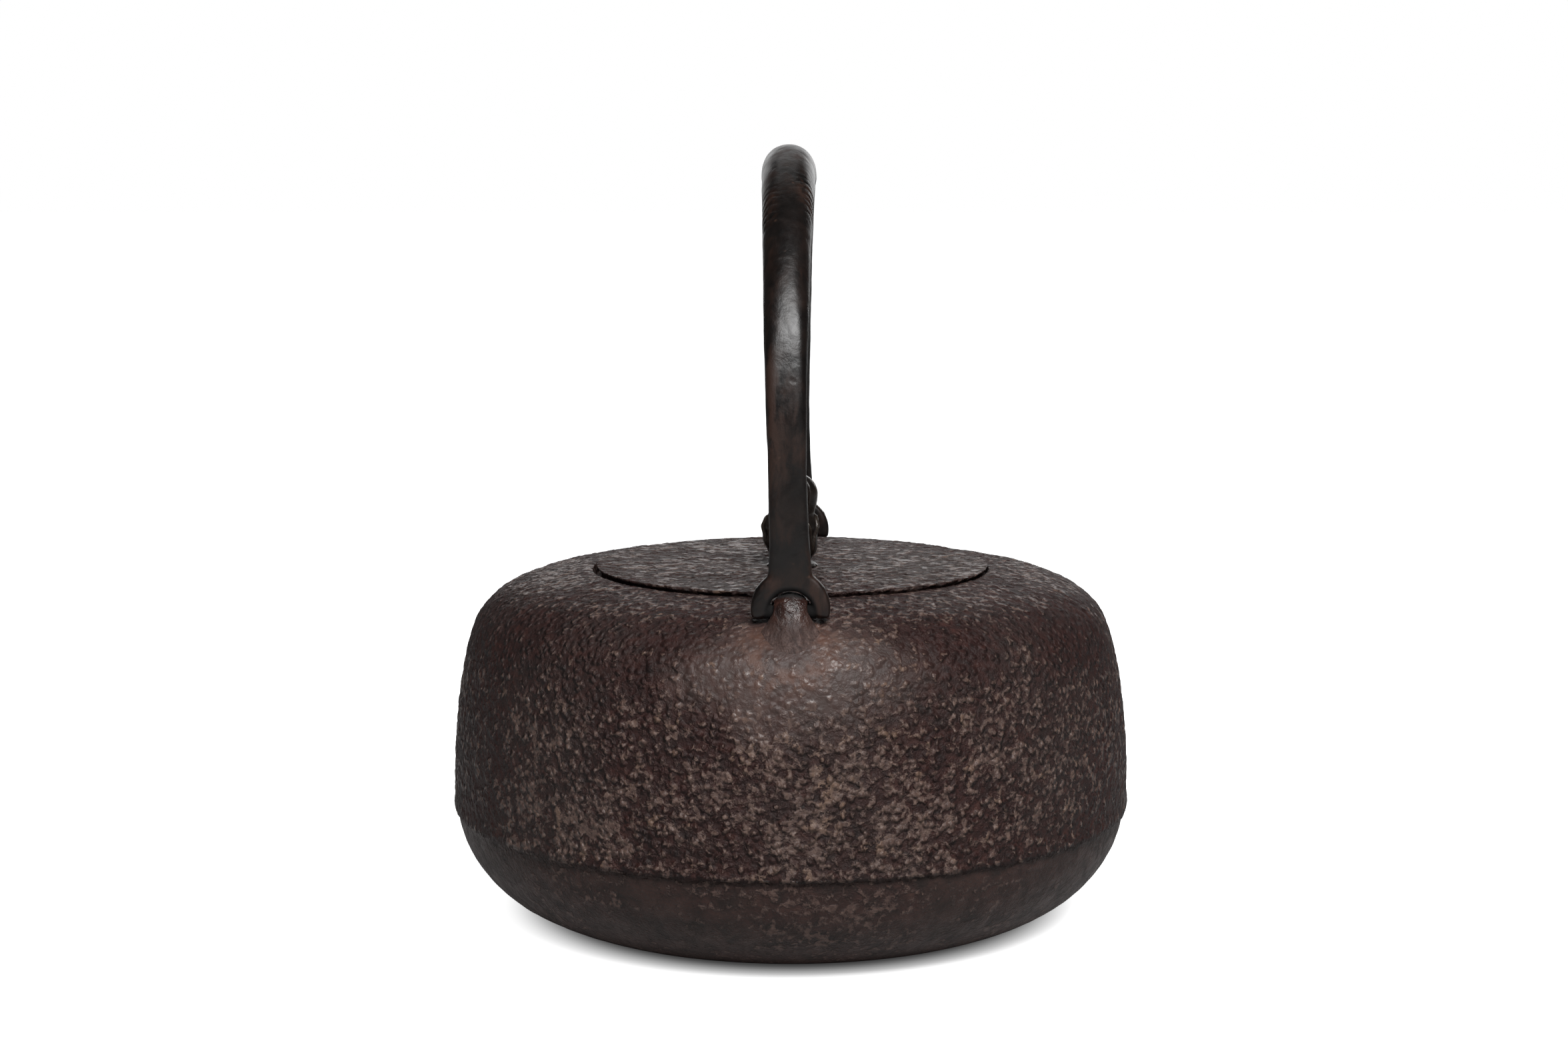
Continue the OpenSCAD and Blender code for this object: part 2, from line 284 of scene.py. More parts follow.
class Nodes:
    def __init__(self, name):
        self.mat = bpy.data.materials.new(name)
        self.mat.use_nodes = True
        self.t = self.mat.node_tree
        self.t.nodes.clear()
        self.out = self.t.nodes.new("ShaderNodeOutputMaterial")
        self.b = self.t.nodes.new("ShaderNodeBsdfPrincipled")
        self.t.links.new(self.b.outputs[0], self.out.inputs[0])
        self.co = self.t.nodes.new("ShaderNodeTexCoord").outputs["Object"]

    def link(self, a, b):
        self.t.links.new(a, b)

    def put(self, sock, v):
        if isinstance(v, bpy.types.NodeSocket):
            self.link(v, sock)
        else:
            sock.default_value = v

    def attr(self, name):
        n = self.t.nodes.new("ShaderNodeAttribute")
        n.attribute_name = name
        return n.outputs["Fac"]

    def mapping(self, scale, co=None):
        n = self.t.nodes.new("ShaderNodeMapping")
        self.link(co or self.co, n.inputs[0])
        n.inputs["Scale"].default_value = scale
        return n.outputs[0]

    def noise(self, mm, detail=3, rough=0.55, distort=0.0, co=None):
        n = self.t.nodes.new("ShaderNodeTexNoise")
        self.link(co or self.co, n.inputs["Vector"])
        n.inputs["Scale"].default_value = 1000.0 / mm
        n.inputs["Detail"].default_value = detail
        n.inputs["Roughness"].default_value = rough
        n.inputs["Distortion"].default_value = distort
        return n.outputs["Fac"]

    def noise_vec(self, mm, co=None):
        n = self.t.nodes.new("ShaderNodeTexNoise")
        self.link(co or self.co, n.inputs["Vector"])
        n.inputs["Scale"].default_value = 1000.0 / mm
        n.inputs["Detail"].default_value = 2
        return n.outputs["Color"]

    def warp(self, mm, amount_mm, co=None):
        """Coordinates pushed about by a noise."""
        v = self.noise_vec(mm, co)
        s = self.t.nodes.new("ShaderNodeVectorMath")
        s.operation = "MULTIPLY_ADD"
        self.link(v, s.inputs[0])
        s.inputs[1].default_value = (amount_mm * MM,) * 3
        self.link(co or self.co, s.inputs[2])
        return s.outputs[0]

    def voro(self, mm, feature="F1", co=None, out="Distance", smooth=0.4):
        n = self.t.nodes.new("ShaderNodeTexVoronoi")
        n.feature = feature
        self.link(co or self.co, n.inputs["Vector"])
        n.inputs["Scale"].default_value = 1000.0 / mm
        if feature == "SMOOTH_F1":
            n.inputs["Smoothness"].default_value = smooth
        return n.outputs[out]

    def math(self, op, a, b=None, c=None, clamp=False):
        n = self.t.nodes.new("ShaderNodeMath")
        n.operation = op
        n.use_clamp = clamp
        for s, v in zip(n.inputs, (a, b, c)):
            if v is not None:
                self.put(s, v)
        return n.outputs[0]

    def span(self, x, a, b, lo=0.0, hi=1.0, kind="SMOOTHSTEP"):
        n = self.t.nodes.new("ShaderNodeMapRange")
        n.interpolation_type = kind
        n.clamp = True if kind == "LINEAR" else n.clamp
        self.link(x, n.inputs[0])
        for k, v in zip(("From Min", "From Max", "To Min", "To Max"), (a, b, lo, hi)):
            n.inputs[k].default_value = v
        return n.outputs[0]

    def ramp(self, x, stops, interp="LINEAR"):
        n = self.t.nodes.new("ShaderNodeValToRGB")
        n.color_ramp.interpolation = interp
        e = n.color_ramp.elements
        while len(e) < len(stops):
            e.new(0.5)
        for el, (p, c) in zip(e, stops):
            el.position = p
            el.color = (*c, 1)
        self.link(x, n.inputs[0])
        return n.outputs[0]

    def mix(self, f, a, b, mode="MIX"):
        n = self.t.nodes.new("ShaderNodeMix")
        n.data_type = "RGBA"
        n.blend_type = mode
        self.put(n.inputs[0], f)
        for s, v in ((n.inputs[6], a), (n.inputs[7], b)):
            if isinstance(v, tuple):
                v = (*v, 1)
            self.put(s, v)
        return n.outputs[2]

    def bump(self, h, dist_mm, strength=1.0, under=None):
        n = self.t.nodes.new("ShaderNodeBump")
        self.put(n.inputs["Strength"], strength)
        n.inputs["Distance"].default_value = dist_mm * MM
        self.link(h, n.inputs["Height"])
        if under:
            self.link(under, n.inputs["Normal"])
        return n.outputs[0]

    def finish(self, color, rough, normal, metallic=0.0, specular=0.5, coat=0.0, coat_rough=0.3):
        self.link(color, self.b.inputs["Base Color"])
        self.link(rough, self.b.inputs["Roughness"])
        self.link(normal, self.b.inputs["Normal"])
        self.b.inputs["Metallic"].default_value = metallic
        self.b.inputs["Specular IOR Level"].default_value = specular
        self.b.inputs["Coat Weight"].default_value = coat
        self.b.inputs["Coat Roughness"].default_value = coat_rough
        return self.mat


def rough_iron(name, k, grey):
    """Coarse cast skin: light flaky plateaus on a dark red-brown ground, worn smooth and rusty near the lugs. The
    smooth patches are also lightened as a painted highlight, and the front sides of the wall are darkened as painted
    shade.
    """
    n = Nodes(name)
    w = n.warp(2.0 * k, 0.9 * k)
    blobs = n.noise(1.75 * k, 4, 0.60, 0.15, w)
    pebble = n.span(n.voro(1.55 * k, "SMOOTH_F1", w, smooth=0.25), 0.10, 0.62, 1.0, 0.0)
    grain = n.noise(0.9 * k, 4, 0.62, 0.4)
    grit = n.noise(0.5, 3, 0.6)
    big = n.noise(12 * k, 4, 0.62, 0.5)
    patch = n.noise(40, 3, 0.55)
    smooth = n.attr("smooth")
    rust = n.attr("rust")
    hgt = n.attr("hgt")
    turn_band_and_side_shade = n.attr("turn_band_and_side_shade")
    # where a plateau of the old skin is left
    f = n.math("MULTIPLY_ADD", big, 0.34, blobs)
    f = n.math("MULTIPLY_ADD", pebble, 0.10, f)
    f = n.math("MULTIPLY_ADD", patch, 0.22, f)
    f = n.math("MULTIPLY_ADD", hgt, 0.05, f)
    # fewer light plateaus, so a darker colour: on the shoulder turn band, and as painted shade on the front left and
    # front right of the wall
    f = n.math("MULTIPLY_ADD", turn_band_and_side_shade, -0.115, f)
    plate = n.span(f, 0.815, 0.925)
    h = n.math("MULTIPLY_ADD", pebble, 0.62, n.math("MULTIPLY", grain, 0.40))
    h = n.math("MULTIPLY_ADD", n.span(f, 0.68, 0.95), 0.40, h)
    h = n.math("MULTIPLY_ADD", grit, 0.10, h)
    keep = n.math("MULTIPLY_ADD", smooth, -0.72, 1.0)
    normal = n.bump(h, 0.95 * k, keep)
    dark = n.ramp(n.noise(3.2, 4, 0.6, 0.4), [(0.30, (0.0065, 0.0018, 0.0015)), (0.55, (0.0175, 0.0050, 0.0040)), (0.75, (0.034, 0.0112, 0.0083))])
    light = n.ramp(n.noise(1.3, 4, 0.65), [(0.28, (0.031, 0.0165, 0.0138)), (0.50, (0.066, 0.0400, 0.0330)), (0.72, (0.120, 0.080, 0.064))])
    col = n.mix(plate, dark, light)
    # lighter colour where the skin is smooth below the lugs: partly wear, partly a painted highlight on the wall
    col = n.mix(n.math("MULTIPLY", smooth, 0.50), col, n.ramp(big, [(0.3, (0.040, 0.026, 0.022)), (0.7, (0.082, 0.057, 0.050))]))
    col = n.mix(n.span(patch, 0.44, 0.64, 0.2 * grey, grey), col, n.mix(0.55, col, (0.034, 0.032, 0.029)))
    tan = n.math("MULTIPLY", n.span(n.noise(7, 3, 0.6), 0.56, 0.70), plate)
    col = n.mix(n.math("MULTIPLY", tan, 0.5), col, (0.130, 0.080, 0.054))
    rustf = n.math("MULTIPLY", rust, n.span(n.noise(5, 4, 0.65), 0.40, 0.60), clamp=True)
    col = n.mix(n.math("MULTIPLY", rustf, 0.55), col, (0.078, 0.037, 0.025))
    rough = n.math("MULTIPLY_ADD", plate, -0.20, n.span(grit, 0.3, 0.7, 0.64, 0.54))
    rough = n.math("MULTIPLY_ADD", smooth, -0.08, rough)
    return n.finish(col, rough, normal, metallic=0.0, specular=0.21)


def pan_iron():
    n = Nodes("smooth_cast_iron")
    blobs = n.noise(2.0, 5, 0.62, 0.2, n.warp(3.0, 1.2))
    big = n.noise(24, 4, 0.6, 0.6)
    grain = n.noise(1.1, 4, 0.62)
    mid = n.noise(5.0, 4, 0.6, 0.4)
    grit = n.noise(0.5, 2, 0.6)
    f = n.math("MULTIPLY_ADD", big, 0.5, blobs)
    plate = n.span(f, 0.80, 0.92)
    h = n.math("MULTIPLY_ADD", mid, 0.6, n.math("MULTIPLY_ADD", grain, 0.40, n.math("MULTIPLY", grit, 0.12)))
    h = n.math("MULTIPLY_ADD", n.span(f, 0.74, 0.92), 0.28, h)
    normal = n.bump(h, 1.15, 1.0)
    dark = n.ramp(mid, [(0.30, (0.0090, 0.0048, 0.0040)), (0.55, (0.0230, 0.0098, 0.0078)), (0.75, (0.038, 0.0180, 0.0140))])
    light = n.ramp(grain, [(0.30, (0.034, 0.0180, 0.0145)), (0.55, (0.066, 0.0400, 0.0330)), (0.75, (0.092, 0.063, 0.052))])
    col = n.mix(plate, dark, light)
    col = n.mix(n.span(big, 0.40, 0.58, 0.45, 0), col, n.mix(0.5, col, (0.0245, 0.0165, 0.0135)))
    rough = n.span(mid, 0.3, 0.7, 0.60, 0.46)
    return n.finish(col, rough, normal, specular=0.22)


def lug_iron():
    n = Nodes("worn_cast_iron")
    grain = n.noise(1.0, 4, 0.6, 0.5)
    mid = n.noise(2.6, 4, 0.6, 0.8, n.mapping((1.0, 1.0, 0.6)))
    h = n.math("MULTIPLY_ADD", mid, 0.9, n.math("MULTIPLY", grain, 0.35))
    normal = n.bump(h, 0.85, 0.9)
    col = n.ramp(mid, [(0.25, (0.0070, 0.0030, 0.0025)), (0.5, (0.0180, 0.0076, 0.0060)), (0.72, (0.034, 0.0160, 0.0125))])
    foot = n.attr("foot")
    rustf = n.math("MULTIPLY", foot, n.span(n.noise(4, 4, 0.6), 0.36, 0.6), clamp=True)
    col = n.mix(n.math("MULTIPLY", rustf, 0.55), col, (0.052, 0.023, 0.015))
    # painted shade: the lower lug, toward its foot, is given a darker colour
    col = n.mix(n.math("MULTIPLY", foot, 0.6), col, n.ramp(mid, [(0.3, (0.0040, 0.0018, 0.0015)), (0.7, (0.030, 0.0150, 0.0120))]))
    hem = n.math("MULTIPLY", n.attr("hem"), n.span(n.noise(1.5, 4, 0.6, 0.5, n.mapping((1.0, 1.0, 0.55))), 0.40, 0.56), clamp=True)
    col = n.mix(hem, col, n.ramp(grain, [(0.3, (0.026, 0.0135, 0.0110)), (0.55, (0.052, 0.0300, 0.0250)), (0.75, (0.082, 0.052, 0.043))]))
    # painted shade: the top of the lug where the fork covers it is made near black and fully rough
    painted_fork_shade = n.attr("painted_fork_shade")
    col = n.mix(painted_fork_shade, col, (0.0014, 0.0009, 0.0008))
    rough = n.math("MULTIPLY_ADD", foot, 0.50, n.math("MULTIPLY_ADD", painted_fork_shade, 0.6, n.span(mid, 0.3, 0.7, 0.30, 0.15)), clamp=True)
    return n.finish(col, rough, normal, specular=0.34)


def handle_iron():
    n = Nodes("forged_handle_iron")
    along = n.mapping((1.0, 1.0, 0.35))
    streak = n.noise(1.6, 4, 0.6, 0.3, along)
    mid = n.noise(9, 4, 0.6, 0.6)
    big = n.noise(34, 3, 0.55, 0.4)
    grit = n.noise(0.6, 3, 0.55)
    pits = n.span(n.voro(5.5, "F1", n.warp(5, 3)), 0.05, 0.22, 0.0, 1.0)
    h = n.math("MULTIPLY_ADD", mid, 0.7, n.math("MULTIPLY_ADD", streak, 0.26, n.math("MULTIPLY_ADD", grit, 0.06, n.math("MULTIPLY", pits, 0.16))))
    normal = n.bump(h, 0.34, 0.9)
    wear = n.attr("wear")
    col = n.ramp(mid, [(0.3, (0.0018, 0.0014, 0.0013)), (0.5, (0.0036, 0.0025, 0.0022)), (0.7, (0.0075, 0.0044, 0.0034))])
    brown = n.math("MULTIPLY", n.math("ADD", wear, n.span(big, 0.44, 0.62, 0, 0.75)), n.span(n.noise(5, 5, 0.65, 0.3, along), 0.40, 0.62), clamp=True)
    col = n.mix(brown, col, (0.0175, 0.0078, 0.0050))
    dots = n.math("MULTIPLY", n.span(n.voro(7.0, "F1", n.warp(6, 4)), 0.0, 0.10, 1.0, 0.0), 0.5)
    col = n.mix(dots, col, (0.050, 0.026, 0.017))
    rough = n.math("MULTIPLY_ADD", brown, 0.16, n.span(n.math("MULTIPLY_ADD", mid, 0.5, n.math("MULTIPLY", streak, 0.5)), 0.3, 0.7, 0.30, 0.42))
    # painted shade: the inner edge of the fork ring is made near black and rough
    painted_fork_shade = n.attr("painted_fork_shade")
    col = n.mix(painted_fork_shade, col, (0.0012, 0.0008, 0.0007))
    rough = n.math("MULTIPLY_ADD", painted_fork_shade, 0.55, rough, clamp=True)
    return n.finish(col, rough, normal, specular=0.27)


def dark_bronze():
    n = Nodes("dark_bronze")
    mid = n.noise(3.4, 4, 0.6, 0.5)
    grain = n.noise(0.9, 3, 0.6)
    high = n.attr("ridge")
    h = n.math("MULTIPLY_ADD", mid, 0.8, n.math("MULTIPLY", grain, 0.25))
    normal = n.bump(h, 0.16, 0.8)
    col = n.ramp(mid, [(0.3, (0.0050, 0.0034, 0.0029)), (0.55, (0.0110, 0.0072, 0.0055)), (0.75, (0.020, 0.0125, 0.0090))])
    col = n.mix(n.math("MULTIPLY", high, 0.5), col, (0.060, 0.044, 0.032))
    rough = n.math("MULTIPLY_ADD", high, -0.06, n.span(grain, 0.3, 0.7, 0.30, 0.44))
    return n.finish(col, rough, normal, metallic=0.35, specular=0.5)


M_ROUGH, M_LID, M_PAN, M_LUG, M_HANDLE, M_BRONZE = rough_iron("rough_cast_iron", 1.3, 0.28), rough_iron("rough_cast_iron_lid", 1.9, 0.6), pan_iron(), lug_iron(), handle_iron(), dark_bronze()

# ------------------------------------------------------------------ skin relief shared by body and lid

def skin_relief(P):
    """Relief of the cast skin in mm, and the plateau value 0..1."""
    f1, f2 = cells(P / 2.9 + 0.35 * np.stack([vnoise(P / 3.1, 5), vnoise(P / 3.1, 6), vnoise(P / 3.1, 7)], 1), 11)
    plate = step(0.03, 0.42, f2 - f1)
    fine = fbm(P / 2.3, 2, 0.55, 21)
    low = fbm(P / 24.0, 3, 0.5, 31)
    mid = fbm(P / 8.0, 2, 0.5, 41)
    strength = 0.75 + 0.35 * fbm(P / 30.0, 2, 0.5, 51)
    d = strength * (0.24 * (plate - 0.62) + 0.21 * fine) + 0.14 * mid + 0.22 * low
    return d, plate


def lug_masks(P):
    """How smooth and how rusty the skin is round the two lugs. The smooth mask also lightens the colour below the lugs,
    partly wear and partly a painted highlight.
    """
    smooth = np.zeros(len(P))
    rust = np.zeros(len(P))
    for side in (-1, 1):
        q = P - np.array([LUG_X, side * 86.0, 84.0])
        d = np.sqrt((q[:, 0] / 1.9) ** 2 + q[:, 1] ** 2 + ((q[:, 2] + 3.0) / 1.0) ** 2)
        d += 5.5 * fbm(P / 9.0, 3, 0.5, 61)
        smooth = np.maximum(smooth, 1 - step(7, 22, d))
        q = P - np.array([LUG_X, side * 84.0, 87.0])
        d = np.sqrt(q[:, 0] ** 2 + q[:, 1] ** 2 + q[:, 2] ** 2) + 3.0 * fbm(P / 6.0, 3, 0.5, 71)
        rust = np.maximum(rust, step(4.0, 8.5, d) * (1 - step(9.5, 16, d)))
    return smooth, rust


# ------------------------------------------------------------------ upper body
NT = 700

def upper_body():
    out = OUTER[OUTER[:, 1] > SEAM_Z]
    out = np.concatenate([[[BODY_R - 0.02, SEAM_Z]], out])
    out = resample(out, 0.87)
    k = len(out)
    inn = inset(np.concatenate([LOW[LOW[:, 1] > 28], SIDE[1:], TOP]), WALL)
    inn = inn[(inn[:, 1] > SEAM_Z + LAP_H + 1) & (inn[:, 0] > 66)]
    inn = resample(inn, 5.5)[::-1]
    rim = np.array([[LIP[0] - 0.03, LIP_Z - 0.5], [LIP[0], LIP_Z - 1.2], [LIP[0], SEAT_Z + 0.9], [LIP[0] - 0.02, SEAT_Z], [LIP[0] - 1.2, SEAT_Z], [MOUTH_R + 0.4, SEAT_Z],
                    [MOUTH_R, SEAT_Z - 0.4], [MOUTH_R, RIM_IN + 0.6], [MOUTH_R + 0.6, RIM_IN], [MOUTH_R + 12, RIM_IN]])
    foot = np.array([[BODY_R - WALL, SEAM_Z + LAP_H + 0.07], [92.52, SEAM_Z + LAP_H + 0.07], [92.52, SEAM_Z + 0.1], [94.3, SEAM_Z - 0.02]])
    prof = np.concatenate([out, rim, inn, foot])
    V, N, F = revolve(prof, NT)
    row = np.repeat(np.arange(len(prof)), NT)
    d, plate = skin_relief(V)
    smooth, rust = lug_masks(V)
    is_out = row < k
    edge = np.clip((V[:, 2] - SEAM_Z) / 2.2, 0, 1)          # 0 at the seam
    lipd = np.clip((V[:, 0] ** 2 + V[:, 1] ** 2) ** 0.5 - LIP[0], 0, 3) / 3.0
    amp = np.where(is_out, (1 - 0.72 * smooth), 0.0)
    # the rough skin rolls over slightly proud at the seam
    proud = 0.32 * np.exp(-((V[:, 2] - SEAM_Z - 0.9) / 1.6) ** 2)
    d = d * amp * (0.5 + 0.5 * edge) + np.where(is_out, proud, 0)
    V2 = V + N * d[:, None]
    # ragged lower edge
    seam = np.exp(-np.clip(V[:, 2] - SEAM_Z, 0, 9) / 0.8) * is_out
    rag = fbm(V * np.array([1, 1, 0]) / 2.6, 3, 0.6, 81)
    V2[:, 2] -= seam * (0.22 + 0.42 * rag)
    # ragged lip round the lid
    rl = row[:, None][:, 0]
    lip = np.exp(-np.clip(np.hypot(V[:, 0], V[:, 1]) - LIP[0], 0, 9) / 1.0) * (V[:, 2] > SEAT_Z + 1.0)
    rr = 0.20 * fbm(V * np.array([1, 1, 0]) / 2.4, 3, 0.6, 91) + 0.10 * fbm(V * np.array([1, 1, 0]) / 12.0, 2, 0.5, 92)
    er = V[:, :2] / np.hypot(V[:, 0], V[:, 1])[:, None]
    V2[:, :2] += er * (lip * rr * (V[:, 2] > 90))[:, None]
    V2[:, 2] = np.where(lip > 0.3, np.minimum(V2[:, 2], V[:, 2] + 0.10), V2[:, 2])
    V2[:, 2] -= 0.40 * np.exp(-np.clip(np.hypot(V[:, 0], V[:, 1]) - LIP[0], 0, 9) / 0.9) * (V[:, 2] > LIP_Z - 0.8) * is_out
    inside = ~is_out
    fine_in = 0.12 * fbm(V / 5.0, 3, 0.5, 95)
    thin = inside & (row > k + 9) & (row < len(prof) - 4)
    V2 = np.where(thin[:, None], V + N * fine_in[:, None], V2)
    # darker band on the shoulder turn, a little lighter low on the wall, and painted shade on the front left and front
    # right of the wall
    turn_band_and_side_shade = step(66, 86, V[:, 2] + 9 * fbm(V / 14.0, 3, 0.5, 83)) * (1 - step(88.5, 92.5, V[:, 2])) * (1 - 0.75 * smooth)
    turn_band_and_side_shade = 0.8 * np.clip(turn_band_and_side_shade, 0, 1) - 0.12 * step(34, 44, V[:, 2]) * (1 - step(54, 74, V[:, 2])) + 0.5 * step(25, 88, -V[:, 0]) * step(10, 40, -V[:, 1]) + 0.4 * step(45, 90, V[:, 0]) * step(10, 40, -V[:, 1])
    ob = make("kettle_upper_body", V2, F, M_ROUGH, {"turn_band_and_side_shade": np.where(is_out, turn_band_and_side_shade, 0.6), "hgt": np.where(is_out, plate, 0.35), "smooth": np.where(is_out, smooth, 0.5), "rust": np.where(is_out, rust, 0.25)})
    # pouring channel through the wall
    a = spout_matrix()
    n = 64
    th = np.linspace(0, 2 * np.pi, n, endpoint=False)
    ring = np.stack([6.5 * np.cos(th), 6.5 * np.sin(th)], 1)
    P = np.concatenate([np.c_[ring, np.full(n, -48.0)], np.c_[ring, np.full(n, 6.0)]])
    P = P @ a[:3, :3].T + a[:3, 3]
    Fq = [(i, (i + 1) % n, n + (i + 1) % n, n + i) for i in range(n)] + [tuple(range(n)), tuple(range(n, 2 * n))]
    tool = make("bore_tool", P, Fq, None)
    cut(ob, tool)
    bm = bmesh.new()
    bm.from_mesh(ob.data)
    bmesh.ops.remove_doubles(bm, verts=bm.verts, dist=0.05 * MM)
    bmesh.ops.dissolve_degenerate(bm, dist=0.02 * MM, edges=bm.edges)
    bmesh.ops.triangulate(bm, faces=[f for f in bm.faces if len(f.verts) > 4])
    bm.to_mesh(ob.data)
    bm.free()
    ob.data.polygons.foreach_set("use_smooth", [True] * len(ob.data.polygons))
    return ob


TILT = math.radians(36)
SPOUT_OUT = (107.0, 80.6)

def spout_matrix():
    """Spout frame: local Z runs up and out along the spout, its mouth at local z = 0. mm."""
    z = np.array([0, math.cos(TILT), math.sin(TILT)])
    x = np.array([1.0, 0, 0])
    y = np.cross(z, x)
    m = np.eye(4)
    m[:3, 0], m[:3, 1], m[:3, 2] = x, y, z
    m[:3, 3] = (0, *SPOUT_OUT)
    return m


def lower_body():
    r = BODY_R - SEAM_STEP
    out = lower_line(r)
    out = out[out[:, 1] < SEAM_Z - 0.25]
    out = resample(np.concatenate([out, [[r - 0.02, SEAM_Z - 0.06]]]), 0.95)
    flat = np.stack([np.linspace(0.6, BASE_R - 1.2, 34), np.zeros(34)], 1)
    rim = np.array([[92.45, SEAM_Z - 0.04], [92.45, SEAM_Z + LAP_H], [r - PAN_WALL, SEAM_Z + LAP_H]])
    inn = inset(lower_line(r), PAN_WALL)
    inn = inn[(inn[:, 0] > BASE_R) & (inn[:, 1] > PAN_WALL)]
    inn = resample(inn, 3.0)[::-1]
    floor = np.stack([np.linspace(BASE_R, 0.6, 14), np.full(14, PAN_WALL)], 1)
    prof = np.concatenate([flat, out, rim, inn, floor])
    nt = 640
    V, N, F = revolve(prof, nt, closed=False)
    row = np.repeat(np.arange(len(prof)), nt)
    k0, k1 = len(flat), len(flat) + len(out)
    is_out = (row >= k0) & (row < k1)
    up = step(0.0, 6.0, V[:, 2]) * (1 - step(SEAM_Z - 1.6, SEAM_Z, V[:, 2]) * 0.7)
    d = (0.16 * fbm(V / 14.0, 3, 0.5, 101) + 0.07 * fbm(V / 3.2, 3, 0.55, 102) + 0.05 * (step(0.1, 0.5, cells(V / 5.5, 103)[1] - cells(V / 5.5, 103)[0]) - 0.5)) * up
    V2 = V + N * (d * is_out)[:, None]
    inner = row >= k1 + len(rim)
    V2 = np.where(inner[:, None], V + N * (0.10 * fbm(V / 6.0, 3, 0.5, 105))[:, None], V2)
    n0 = len(V2)
    V2 = np.concatenate([V2, [[0, 0, 0], [0, 0, PAN_WALL]]])
    F = [tuple(f) for f in F]
    last = (len(prof) - 1) * nt
    F += [(n0, (j + 1) % nt, j) for j in range(nt)]
    F += [(n0 + 1, last + j, last + (j + 1) % nt) for j in range(nt)]
    return make("kettle_base_pan", V2, F, M_PAN)


def lid():
    r1 = LID_R
    plate_in = LID_TOP - LID_DISH - 3.4
    n = 62
    rr = np.linspace(1.75, r1 - 0.55, n)
    top = np.stack([rr, LID_TOP - LID_DISH * (1 - (rr / r1) ** 2)], 1)
    side = np.array([[r1 - 0.20, LID_TOP - 0.06], [r1 + 0.02, LID_TOP - 0.22], [r1 - 0.45, LID_TOP - 0.42], [r1 - 1.1, LID_TOP - 0.9], [r1 - 1.2, SEAT_Z + 0.5], [r1 - 1.2, SEAT_Z + 0.12],
                     [MOUTH_R - 1.5, SEAT_Z + 0.12], [MOUTH_R - 1.5, SEAT_Z - 7.6], [MOUTH_R - 1.9, SEAT_Z - 8], [MOUTH_R - 3.6, SEAT_Z - 8], [MOUTH_R - 4, SEAT_Z - 7.6], [MOUTH_R - 4, plate_in + 0.4], [MOUTH_R - 4.5, plate_in]])
    under = np.stack([np.linspace(MOUTH_R - 8, 1.75, 14), np.full(14, plate_in)], 1)
    prof = np.concatenate([top, side, under])
    nt = 660
    V, N, F = revolve(prof, nt)
    row = np.repeat(np.arange(len(prof)), nt)
    Pn = V + np.array([213.0, 87.0, 3.0])
    d, plate = skin_relief(Pn)
    rad = np.hypot(V[:, 0], V[:, 1])
    is_top = row < n + 3
    amp = np.where(row < n, 1.0, 0.4) * is_top * step(7.6, 10.0, rad)
    up = np.array([0, 0, 1.0])
    V2 = V + up * (np.clip(d, -0.5, 0.5) * amp * (rad < r1 - 0.15) + 0.50 * (row < n + 2) * step(11, 24, rad))[:, None]
    edge = (row >= n - 1) & (row < n + 5)
    rr = 0.20 * fbm(V * np.array([1, 1, 0]) / 2.5, 3, 0.6, 191) + 0.10 * fbm(V * np.array([1, 1, 0]) / 13.0, 2, 0.5, 192) - 0.05
    er = V[:, :2] / rad[:, None]
    V2[:, :2] += er * np.where(edge, rr, 0)[:, None]
    low = (row > n + 4)
    V2 = np.where((low & (row > len(prof) - 12))[:, None], V + N * (0.10 * fbm(V / 5.0, 3, 0.5, 195) * step(9, 14, rad))[:, None], V2)
    V2[:, 0] += LID_SHIFT
    ob = make("lid_plate", V2, F, M_LID, {"hgt": np.where(is_top, plate, 0.4), "smooth": np.where(is_top, 0.10 + 0.25 * np.clip(fbm(V / 20.0, 2, 0.5, 197), 0, 1), 0.5), "rust": 0.10 + 0 * rad})
    return ob


def spout():
    line = np.array([[6.5, -34.0], [14.6, -34.0], [14.5, -27.0], [14.1, -23.0], [13.3, -18.5], [12.1, -14.0], [11.0, -9.5], [10.2, -6.0], [9.6, -3.2], [9.2, -1.3], [9.0, -0.55], [8.6, -0.08], [8.0, 0.0],
                     [7.3, 0.0], [6.75, -0.22], [6.5, -0.7]])
    P = [line[0]]
    for a, b in zip(line[:-1], line[1:]):
        k = max(1, int(np.linalg.norm(b - a) / 0.9))
        for i in range(1, k + 1):
            P.append(a + (b - a) * i / k)
    back = np.stack([np.full(30, 6.5), np.linspace(-1.6, -33.0, 30)], 1)
    prof = np.concatenate([np.array(P), back])
    nt = 150
    V, N, F = revolve(prof, nt)
    m = spout_matrix()
    Vw = V @ m[:3, :3].T + m[:3, 3]
    Nw = N @ m[:3, :3].T
    rad = np.hypot(V[:, 0], V[:, 1])
    outer = rad > 7.0
    d, plate = skin_relief(Vw + 400.0)
    Vw = Vw + Nw * (d * np.where(outer, 0.8, 0.2))[:, None]
    h, B = skin_height(Vw)
    # flare into the body, then follow just under its skin
    flare = 2.4 * np.exp(-np.clip(h, 0, 20) / 1.7) * outer
    T = Nw - B * (Nw * B).sum(1)[:, None]
    Vw = Vw + T * flare[:, None]
    h, B = skin_height(Vw)
    lim = np.where(outer, -0.9, -WALL + 0.05)
    low = h < lim
    Vw = np.where(low[:, None], Vw + B * (lim - h)[:, None], Vw)
    return make("spout_cast", Vw, F, M_ROUGH, {"hgt": plate, "smooth": np.where(outer, 0.35, 0.8), "rust": np.where(outer, 0.3, 0.7) * (1 - step(0, 14, h))})


